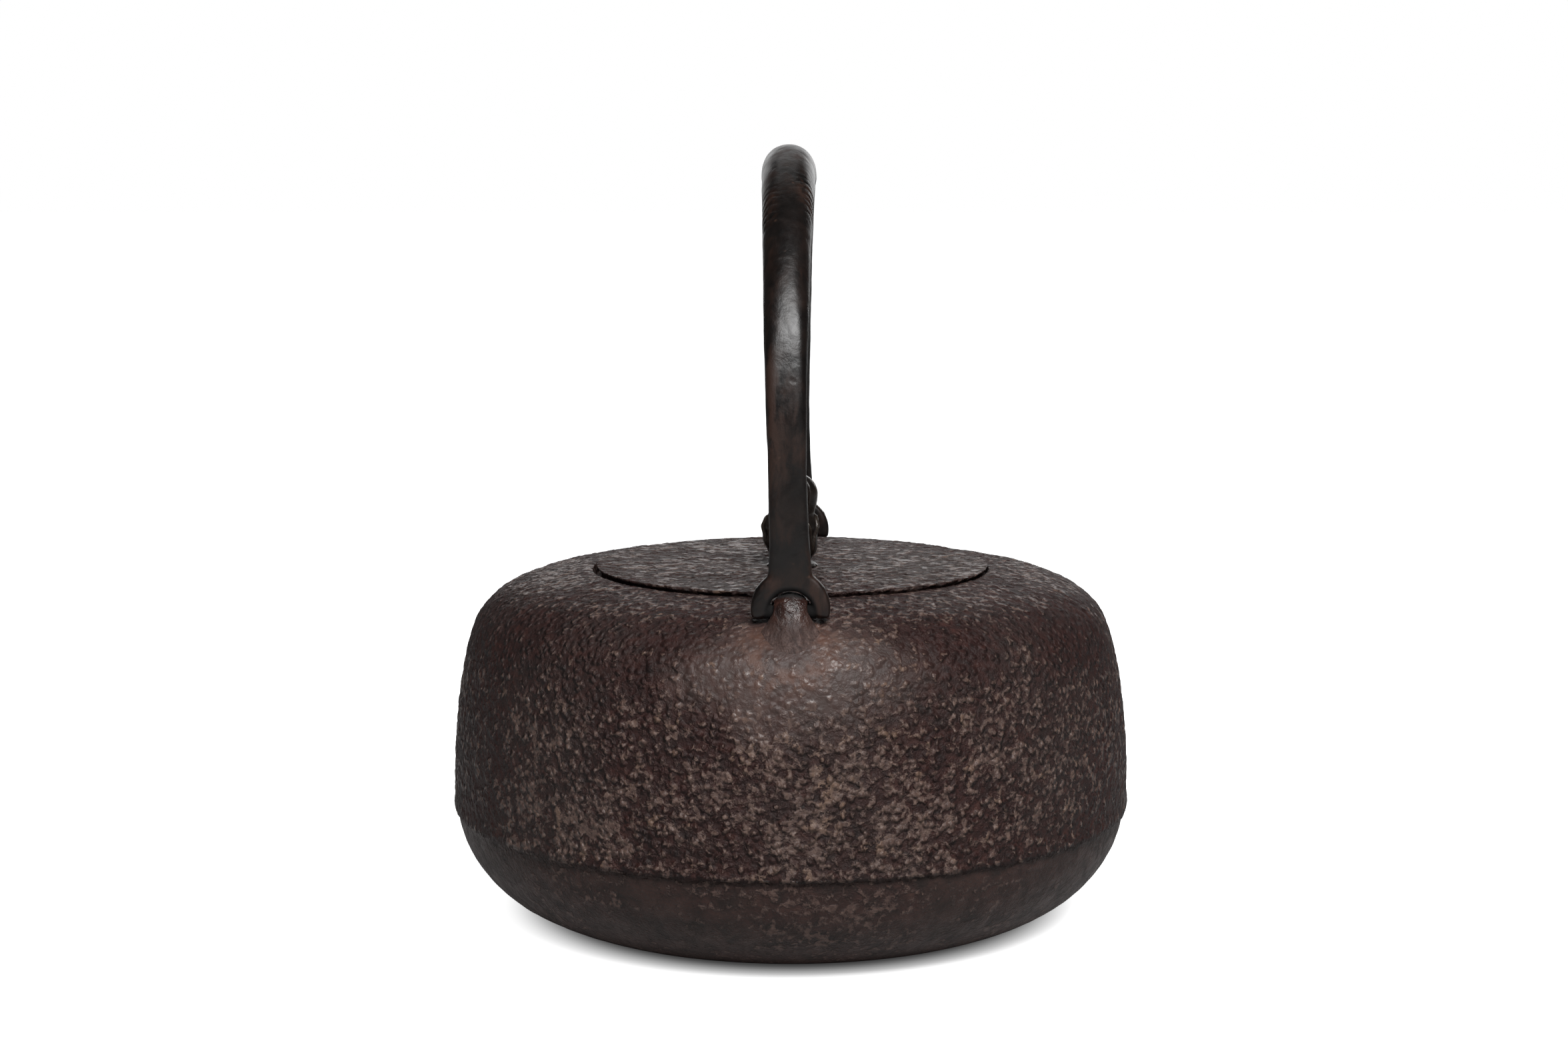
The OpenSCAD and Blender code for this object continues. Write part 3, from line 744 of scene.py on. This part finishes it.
def lug(side):
    bm = bmesh.new()
    for (y, z, r) in ((LUG_Y - 0.6, 94.4, 5.75), (LUG_Y - 5, 90.6, 5.7), (LUG_Y + 2.2, 86.2, 6.7)):
        bmesh.ops.create_icosphere(bm, subdivisions=4, radius=r * MM, matrix=Matrix.Translation((LUG_X * MM, side * y * MM, z * MM)))
    res = bmesh.ops.convex_hull(bm, input=bm.verts)
    junk = [g for g in res["geom_interior"] if isinstance(g, bmesh.types.BMVert)]
    bmesh.ops.delete(bm, geom=junk, context="VERTS")
    me = bpy.data.meshes.new("lug")
    bm.to_mesh(me)
    bm.free()
    ob = bpy.data.objects.new("rear_lug_cast" if side < 0 else "front_lug_cast", me)
    bpy.context.scene.collection.objects.link(ob)
    me.materials.append(M_LUG)
    n = 40
    th = np.linspace(0, 2 * np.pi, n, endpoint=False)
    P = np.concatenate([np.stack([np.full(n, x), side * LUG_Y + HOLE_R * np.cos(th), HOLE_Z + HOLE_R * np.sin(th)], 1) for x in (-11, 13)])
    Fq = [(i, (i + 1) % n, n + (i + 1) % n, n + i) for i in range(n)] + [tuple(range(n)), tuple(range(n, 2 * n))]
    cut(ob, make("hole_tool", P, Fq, None), "EXACT")
    remesh(ob, 0.34, 3, 0.5)
    V = verts_of(ob)
    N = normals_of(ob)
    h, B = skin_height(V)
    hole = np.hypot(V[:, 1] - side * LUG_Y, V[:, 2] - HOLE_Z)
    T = N - B * (N * B).sum(1)[:, None]
    flare = 1.7 * np.exp(-np.clip(h, 0, 20) / 1.3) * step(HOLE_R + 0.6, HOLE_R + 3.0, hole)
    V = V + T * flare[:, None]
    V = V + N * (step(HOLE_R + 0.4, HOLE_R + 1.4, hole) * (0.20 * fbm(V * np.array([1.0, 1.0, 0.5]) / 2.6, 3, 0.55, 201 + side) + 0.06 * fbm(V / 1.4, 2, 0.5, 203)))[:, None]
    h, B = skin_height(V)
    low = h < -0.9
    V = np.where(low[:, None], V + B * (-0.9 - h)[:, None], V)
    set_verts(ob, V)
    # foot mask: rust, rougher skin and painted shade on the lower lug
    set_attr(ob, "foot", 1 - step(1.2, 6.6, h + 0.8 * fbm(V / 3.0, 2, 0.5, 204)))
    set_attr(ob, "hem", 1 - step(-0.2, 2.6, h + 1.2 * fbm(V / 2.4, 3, 0.5, 205)))
    # painted shade mask: the top of the lug under the fork
    set_attr(ob, "painted_fork_shade", step(98.2, 99.3, V[:, 2]) * (1 - step(LUG_Y + 1.6, LUG_Y + 3.4, side * V[:, 1])))
    return ob


# ------------------------------------------------------------------ handle
TOP_Z, ARCH_Z, LEG_Y, LEG_W, LEG_D, GRIP_W, GRIP_OUT, GRIP_IN = 213.5, 136.0, 75.6, 9.8, 7.2, 15.2, 9.0, 6.0
LEAN = 0.7
FORK_T = 4.6
RISE = TOP_Z - GRIP_OUT - ARCH_Z


def ring(c, nrm, w, out, inn, n, cols):
    a = np.linspace(0, 2 * np.pi, cols, endpoint=False)
    ca, sa = np.cos(a), np.sin(a)
    x = w / 2 * np.sign(ca) * np.abs(ca) ** (2 / n)
    d = np.where(sa > 0, out, inn) * np.sign(sa) * np.abs(sa) ** (2 / n)
    return np.stack([x, c[0] + nrm[0] * d, c[1] + nrm[1] * d], 1)


def handle():
    cols = 56
    rings = []
    half = []
    for z in np.arange(101.2, ARCH_Z, 1.1):
        u = (z - 101.6) / (ARCH_Z - 101.6)
        v = max(0.0, 1 - u * 2.2)
        e = 3 * v * v - 2 * v ** 3
        w = LEG_W + 1.3 * e
        w += 6.6 * max(0.0, 1 - (z - 101.2) / 3.9) ** 1.8
        y = LEG_Y + (LUG_Y - LEG_Y) * e
        dd = (LEG_D + (FORK_T + 0.25 - LEG_D) * e) / 2
        half.append((y, z, w, dd))
    for y, z, w, dd in half:
        rings.append(ring((y, z), (1, 0), w, dd, dd, 5, cols))
    for t in np.arange(0, 180.01, 1.4):
        q = math.radians(t)
        h = 1 - abs(t - 90) / 90
        u = h ** 1.1
        ny, nz = math.cos(q) / LEG_Y, math.sin(q) / RISE
        l = math.hypot(ny, nz)
        rings.append(ring((LEG_Y * math.cos(q), ARCH_Z + RISE * math.sin(q)), (ny / l, nz / l), LEG_W + (GRIP_W - LEG_W) * h,
                          LEG_D / 2 + (GRIP_OUT - LEG_D / 2) * u, LEG_D / 2 + (GRIP_IN - LEG_D / 2) * u, 5 + (2.15 - 5) * min(1, 2.6 * h), cols))
    for y, z, w, dd in half[::-1]:
        rings.append(ring((-y, z), (-1, 0), w, dd, dd, 5, cols))
    V = [np.concatenate(rings)]
    m = len(rings)
    F = [tuple(f) for f in tube_faces(m, cols)]
    F += [tuple(range(cols)), tuple(range((m - 1) * cols, m * cols))]
    base = m * cols
    # horseshoe feet, each one bar bent round its lug
    for side in (-1, 1):
        cc = 28
        rows = []
        for phi in np.arange(-12.5, 192.6, 3.0):
            q = math.radians(phi)
            s, c = math.sin(q), math.cos(q)
            # radii measured from the hole, to circles centred 0.8 above and 0.7 below it
            ro = 0.8 * s + math.sqrt(max(0.0, 10.05 ** 2 - (0.8 * c) ** 2))
            ri = -0.7 * s + math.sqrt(max(0.0, 6.0 ** 2 - (0.7 * c) ** 2))
            edge = min(phi + 12.5, 192.5 - phi)
            taper = math.sqrt(max(0.05, 1 - max(0.0, 1 - edge / 7.0) ** 2))
            mid, w = (ro + ri) / 2 + 0.04 * (ro - ri) * (1 - min(1, edge / 25)), (ro - ri) * (0.92 + 0.08 * min(1, edge / 25)) * taper
            a = np.linspace(0, 2 * np.pi, cc, endpoint=False)
            ca, sa = np.cos(a), np.sin(a)
            rr = mid + w / 2 * np.sign(ca) * np.abs(ca) ** 0.45
            yy = (FORK_T / 2) * taper * np.sign(sa) * np.abs(sa) ** 0.45
            rows.append(np.stack([rr * c, side * LUG_Y + yy, HOLE_Z + rr * s], 1))
        V.append(np.concatenate(rows))
        k = len(rows)
        F += [tuple(base + f) for f in tube_faces(k, cc)]
        F += [tuple(range(base, base + cc)), tuple(range(base + (k - 1) * cc, base + k * cc))]
        base += k * cc
        # turned-in tips
        for sx in (-1, 1):
            n = 24
            rows = []
            for x, r in ((8.2, 2.0), (7.0, 1.9), (6.0, 1.75), (4.4, 1.7), (3.9, 1.6), (3.6, 1.2)):
                a = np.linspace(0, 2 * np.pi, n, endpoint=False)
                rows.append(np.stack([np.full(n, sx * x), side * LUG_Y + r * np.cos(a), HOLE_Z + r * np.sin(a)], 1))
            V.append(np.concatenate(rows))
            k = len(rows)
            F += [tuple(base + f) for f in tube_faces(k, n)]
            F += [tuple(range(base, base + n)), tuple(range(base + (k - 1) * n, base + k * n))]
            base += k * n
    ob = make("handle_forged", np.concatenate(V), F, M_HANDLE)
    remesh(ob, 0.42, 4, 0.5)
    V = verts_of(ob)
    N = normals_of(ob)
    up = step(100, 112, V[:, 2])
    # hammer dents along the arch, then fine skin
    d = up * (0.16 * fbm(V / 13.0, 2, 0.5, 301) + 0.07 * fbm(V / 5.0, 2, 0.5, 302)) + (0.3 + 0.7 * up) * 0.03 * fbm(V / 1.9, 2, 0.5, 303)
    # worn ridges from the smith's tongs on the shoulders of the grip
    gy = np.abs(np.abs(V[:, 1]) - 43.0 + 3.0 * np.sign(V[:, 0]))
    marks = np.exp(-(gy / 6.5) ** 2) * step(188, 194, V[:, 2]) * step(1.6, 4.2, np.abs(V[:, 0]))
    d += -0.24 * marks * step(0.15, 0.8, np.sin((np.abs(V[:, 1]) * 1.0 + np.abs(V[:, 0]) * 0.9) * 2.6 + 2 * vnoise(V / 5.0, 304)))
    V = V + N * d[:, None]
    wear = 1.0 * marks
    wear = np.maximum(wear, 0.45 * step(-0.2, -3.4, V[:, 0]) * (1 - step(150, 190, V[:, 2])))
    wear = np.maximum(wear, 0.55 * (1 - step(103, 118, V[:, 2])) * (0.5 + 0.5 * vnoise(V / 7.0, 305)))
    # painted shade mask: round the inner edge of the fork ring
    painted_fork_shade = 1 - step(6.1, 7.3, np.hypot(V[:, 0], V[:, 2] - HOLE_Z))
    a = math.radians(-LEAN)
    c, s = math.cos(a), math.sin(a)
    x, z = V[:, 0].copy(), V[:, 2] - HOLE_Z
    V[:, 0] = x * c + z * s
    V[:, 2] = HOLE_Z - x * s + z * c
    V[:, 0] += LUG_X - 0.42 * step(104, 132, V[:, 2]) * (1 - step(150, 205, V[:, 2]))
    set_verts(ob, V)
    set_attr(ob, "wear", wear * (1 - painted_fork_shade))
    set_attr(ob, "painted_fork_shade", painted_fork_shade)
    return ob


def knob():
    """A bud: a lower whorl of leaves that hug a folded upper bud."""
    H = 25.4
    z0 = LID_TOP - LID_DISH + 1.13
    nt, nu = 240, 150
    u = np.linspace(0, 1, nu)[:, None]
    th = np.linspace(0, 2 * np.pi, nt, endpoint=False)[None]
    ease = lambda a, b, t: a + (b - a) * (3 * t * t - 2 * t ** 3)
    base = 4.7 + 2.4 * np.sin(np.clip(u / 0.30, 0, 1) * math.pi / 2)
    low = np.where(u < 0.30, base, np.where(u < 0.40, ease(7.1, 7.55, np.clip((u - 0.30) / 0.10, 0, 1)), ease(7.55, 6.2, np.clip((u - 0.40) / 0.16, 0, 1))))
    mid = ease(6.2, 6.75, np.clip((u - 0.56) / 0.20, 0, 1))
    dome = 6.75 * np.sqrt(np.clip(1 - (np.clip((u - 0.76) / 0.24, 0, 1)) ** 2.1, 0, 1))
    core = np.where(u < 0.56, low, np.where(u < 0.76, mid, dome))
    k = 6
    # folded petals of the upper bud, slightly twisted
    a = 5 * (th + 0.35) / 2 - 0.5 * u
    fold = np.abs(np.cos(a)) ** 0.7
    up = core * (1 + 0.060 * (fold - 0.75) * np.clip(u * 4, 0, 1) * np.clip((1.02 - u) * 5, 0, 1))
    line = np.exp(-((np.cos(a)) / 0.10) ** 2)
    up = up - 0.75 * line * np.clip((u - 0.25) * 5, 0, 1) * np.clip((0.99 - u) * 6, 0, 1)
    # leaves of the lower whorl, with raised rims and pointed tips
    b = ((k * (th + 0.5236) / (2 * np.pi)) % 1.0) * 2 - 1
    tip = 0.40 * (1 - np.abs(b) ** 2.4) + 0.12
    inside = 1 - np.clip((u - tip) / 0.028, 0, 1)
    rim = np.exp(-((u - tip + 0.02) / 0.030) ** 2)
    rib = np.exp(-(b / 0.10) ** 2)
    leaf = 0.45 * inside + 0.34 * rim * (u < tip + 0.04) + 0.20 * rib * inside - 0.35 * np.exp(-((np.abs(b) - 1) / 0.10) ** 2) * inside
    r = up + leaf * np.clip(u * 9, 0, 1)
    r[-1] = 0.02
    r = np.maximum(r, 0.02)
    V = np.stack([r * np.cos(th), r * np.sin(th), np.broadcast_to(z0 + u * H, r.shape)], -1).reshape(-1, 3)
    ridge = np.clip(rim * (u < tip + 0.04) * 0.9 + 0.5 * rib * inside + 0.7 * (fold > 0.93) * (u > 0.55), 0, 1)
    ridge = np.broadcast_to(ridge, r.shape).reshape(-1)
    F = [tuple(f) for f in tube_faces(nu, nt)]
    n0 = len(V)
    V = np.concatenate([V, [[0, 0, z0], [0, 0, z0 + H + 0.02]]])
    F += [(n0, (j + 1) % nt, j) for j in range(nt)]
    F += [(n0 + 1, (nu - 1) * nt + j, (nu - 1) * nt + (j + 1) % nt) for j in range(nt)]
    V[:, 2] += 0
    W = V.copy()
    W[:, 0] += LID_SHIFT - 0.6 * step(0.12, 0.26, (V[:, 2] - z0) / H) + 1.0 * step(0.40, 0.66, (V[:, 2] - z0) / H)
    ob = make("knob_bud", W, F, M_BRONZE, {"ridge": np.concatenate([ridge, [0, 0]])})
    N = normals_of(ob)
    top = step(z0 + 1.2, z0 + 3.0, W[:, 2])
    W = W + N * (top * (0.07 * fbm(W / 3.0, 3, 0.5, 401) + 0.02 * fbm(W / 0.9, 2, 0.5, 402)))[:, None]
    set_verts(ob, W)
    return ob


PIECES = [
    (upper_body(), "kettle", "rough_iron", ["upper_body"]),
    (lower_body(), "kettle", "pan_iron", ["lower_body"]),
    (spout(), "kettle", "rough_iron", ["spout"]),
    (lug(-1), "kettle", "lug_iron", ["rear_lug"]),
    (lug(1), "kettle", "lug_iron", ["front_lug"]),
    (handle(), "handle", "handle_iron", ["handle"]),
    (lid(), "lid", "rough_iron", ["lid"]),
    (knob(), "knob", "dark_bronze", ["knob"]),
]
for ob, body, slot, nodes in PIECES:
    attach(ob, body)
    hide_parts(*nodes)

for node in ("knob_seat", "split_pin", "knob_washer"):
    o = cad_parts[node]
    for s in o.material_slots:
        s.material = M_BRONZE

# ------------------------------------------------------------------ floor, light and camera
fl = Nodes("pale_floor")
fcol = fl.ramp(fl.noise(60, 2, 0.5), [(0.3, (0.40, 0.40, 0.40)), (0.7, (0.43, 0.43, 0.43))])
flo = fl.finish(fcol, fl.span(fl.noise(30, 2), 0.3, 0.7, 0.8, 0.9), fl.bump(fl.noise(3, 2), 0.02, 0.2), specular=0.1)
# the sweep glows evenly to the camera, and its glow is cut to a dark disc right under the kettle as a painted contact
# shadow
flat = fl.mapping((1, 1, 0))
dist = fl.t.nodes.new("ShaderNodeVectorMath")
dist.operation = "LENGTH"
fl.link(flat, dist.inputs[0])
glow_and_painted_shadow = fl.span(dist.outputs["Value"], 0.0655, 0.083, 0.05, 1.0)
ray = fl.t.nodes.new("ShaderNodeLightPath").outputs["Is Camera Ray"]
fl.link(fl.math("MULTIPLY", glow_and_painted_shadow, fl.math("MULTIPLY_ADD", ray, 0.9, 0.1)), fl.b.inputs["Emission Strength"])
fl.b.inputs["Emission Color"].default_value = (1, 1, 1, 1)
me = bpy.data.meshes.new("floor")
s = 30.0
me.from_pydata([(-s, -s, 0), (s, -s, 0), (s, s, 0), (-s, s, 0)], [], [(0, 1, 2, 3)])
me.materials.append(flo)
floor = bpy.data.objects.new("floor", me)
bpy.context.scene.collection.objects.link(floor)


def area(name, loc, aim, size, size_y, power, color=(1, 1, 1)):
    l = bpy.data.lights.new(name, "AREA")
    l.shape = "RECTANGLE"
    l.size, l.size_y, l.energy, l.color = size, size_y, power, color
    o = bpy.data.objects.new(name, l)
    o.location = loc
    o.rotation_euler = (Vector(aim) - Vector(loc)).to_track_quat("-Z", "Y").to_euler()
    bpy.context.scene.collection.objects.link(o)
    return o


def at(az, el, d):
    """Position seen from the kettle: azimuth 0 is the camera's side (-Y), positive to the right."""
    a, e = math.radians(az), math.radians(el)
    return (d * math.cos(e) * math.sin(a), -d * math.cos(e) * math.cos(a), d * math.sin(e) + 0.08)


area("softbox", at(14, 47, 1.3), (0, 0, 0.07), 0.80, 0.42, 31)
area("top_light", (-0.05, 1.1, 1.0), (0, 0.0, 0.1), 0.7, 0.5, 0.8)
area("backdrop_light", (0.1, 1.5, 0.42), (0, 0.0, 0.09), 1.4, 0.5, 4.3).visible_camera = False

w = bpy.data.worlds.new("studio")
bpy.context.scene.world = w
w.use_nodes = True
wt = w.node_tree
wt.nodes.clear()
wo = wt.nodes.new("ShaderNodeOutputWorld")
lp = wt.nodes.new("ShaderNodeLightPath")
mixw = wt.nodes.new("ShaderNodeMixShader")
bg0 = wt.nodes.new("ShaderNodeBackground")
bg1 = wt.nodes.new("ShaderNodeBackground")
bg0.inputs[0].default_value = (1, 1, 1, 1)
bg0.inputs[1].default_value = 0.06
bg1.inputs[0].default_value = (1, 1, 1, 1)
bg1.inputs[1].default_value = 1.0
wt.links.new(lp.outputs["Is Camera Ray"], mixw.inputs[0])
wt.links.new(bg0.outputs[0], mixw.inputs[1])
wt.links.new(bg1.outputs[0], mixw.inputs[2])
wt.links.new(mixw.outputs[0], wo.inputs[0])
bpy.context.scene.view_settings.view_transform = "Standard"
bpy.context.scene.view_settings.look = "None"

cam = bpy.data.cameras.new("camera")
cam.sensor_width = 36
cam.lens = 57.87
cam.shift_x = -0.0043
cam.clip_start, cam.clip_end = 0.01, 80
co = bpy.data.objects.new("camera", cam)
az = math.radians(0.7)
co.location = (0.70435 * math.sin(az), -0.70435 * math.cos(az), 0.19931)
co.rotation_euler = (math.radians(90 - 7.386), 0, az)
bpy.context.scene.collection.objects.link(co)
bpy.context.scene.camera = co
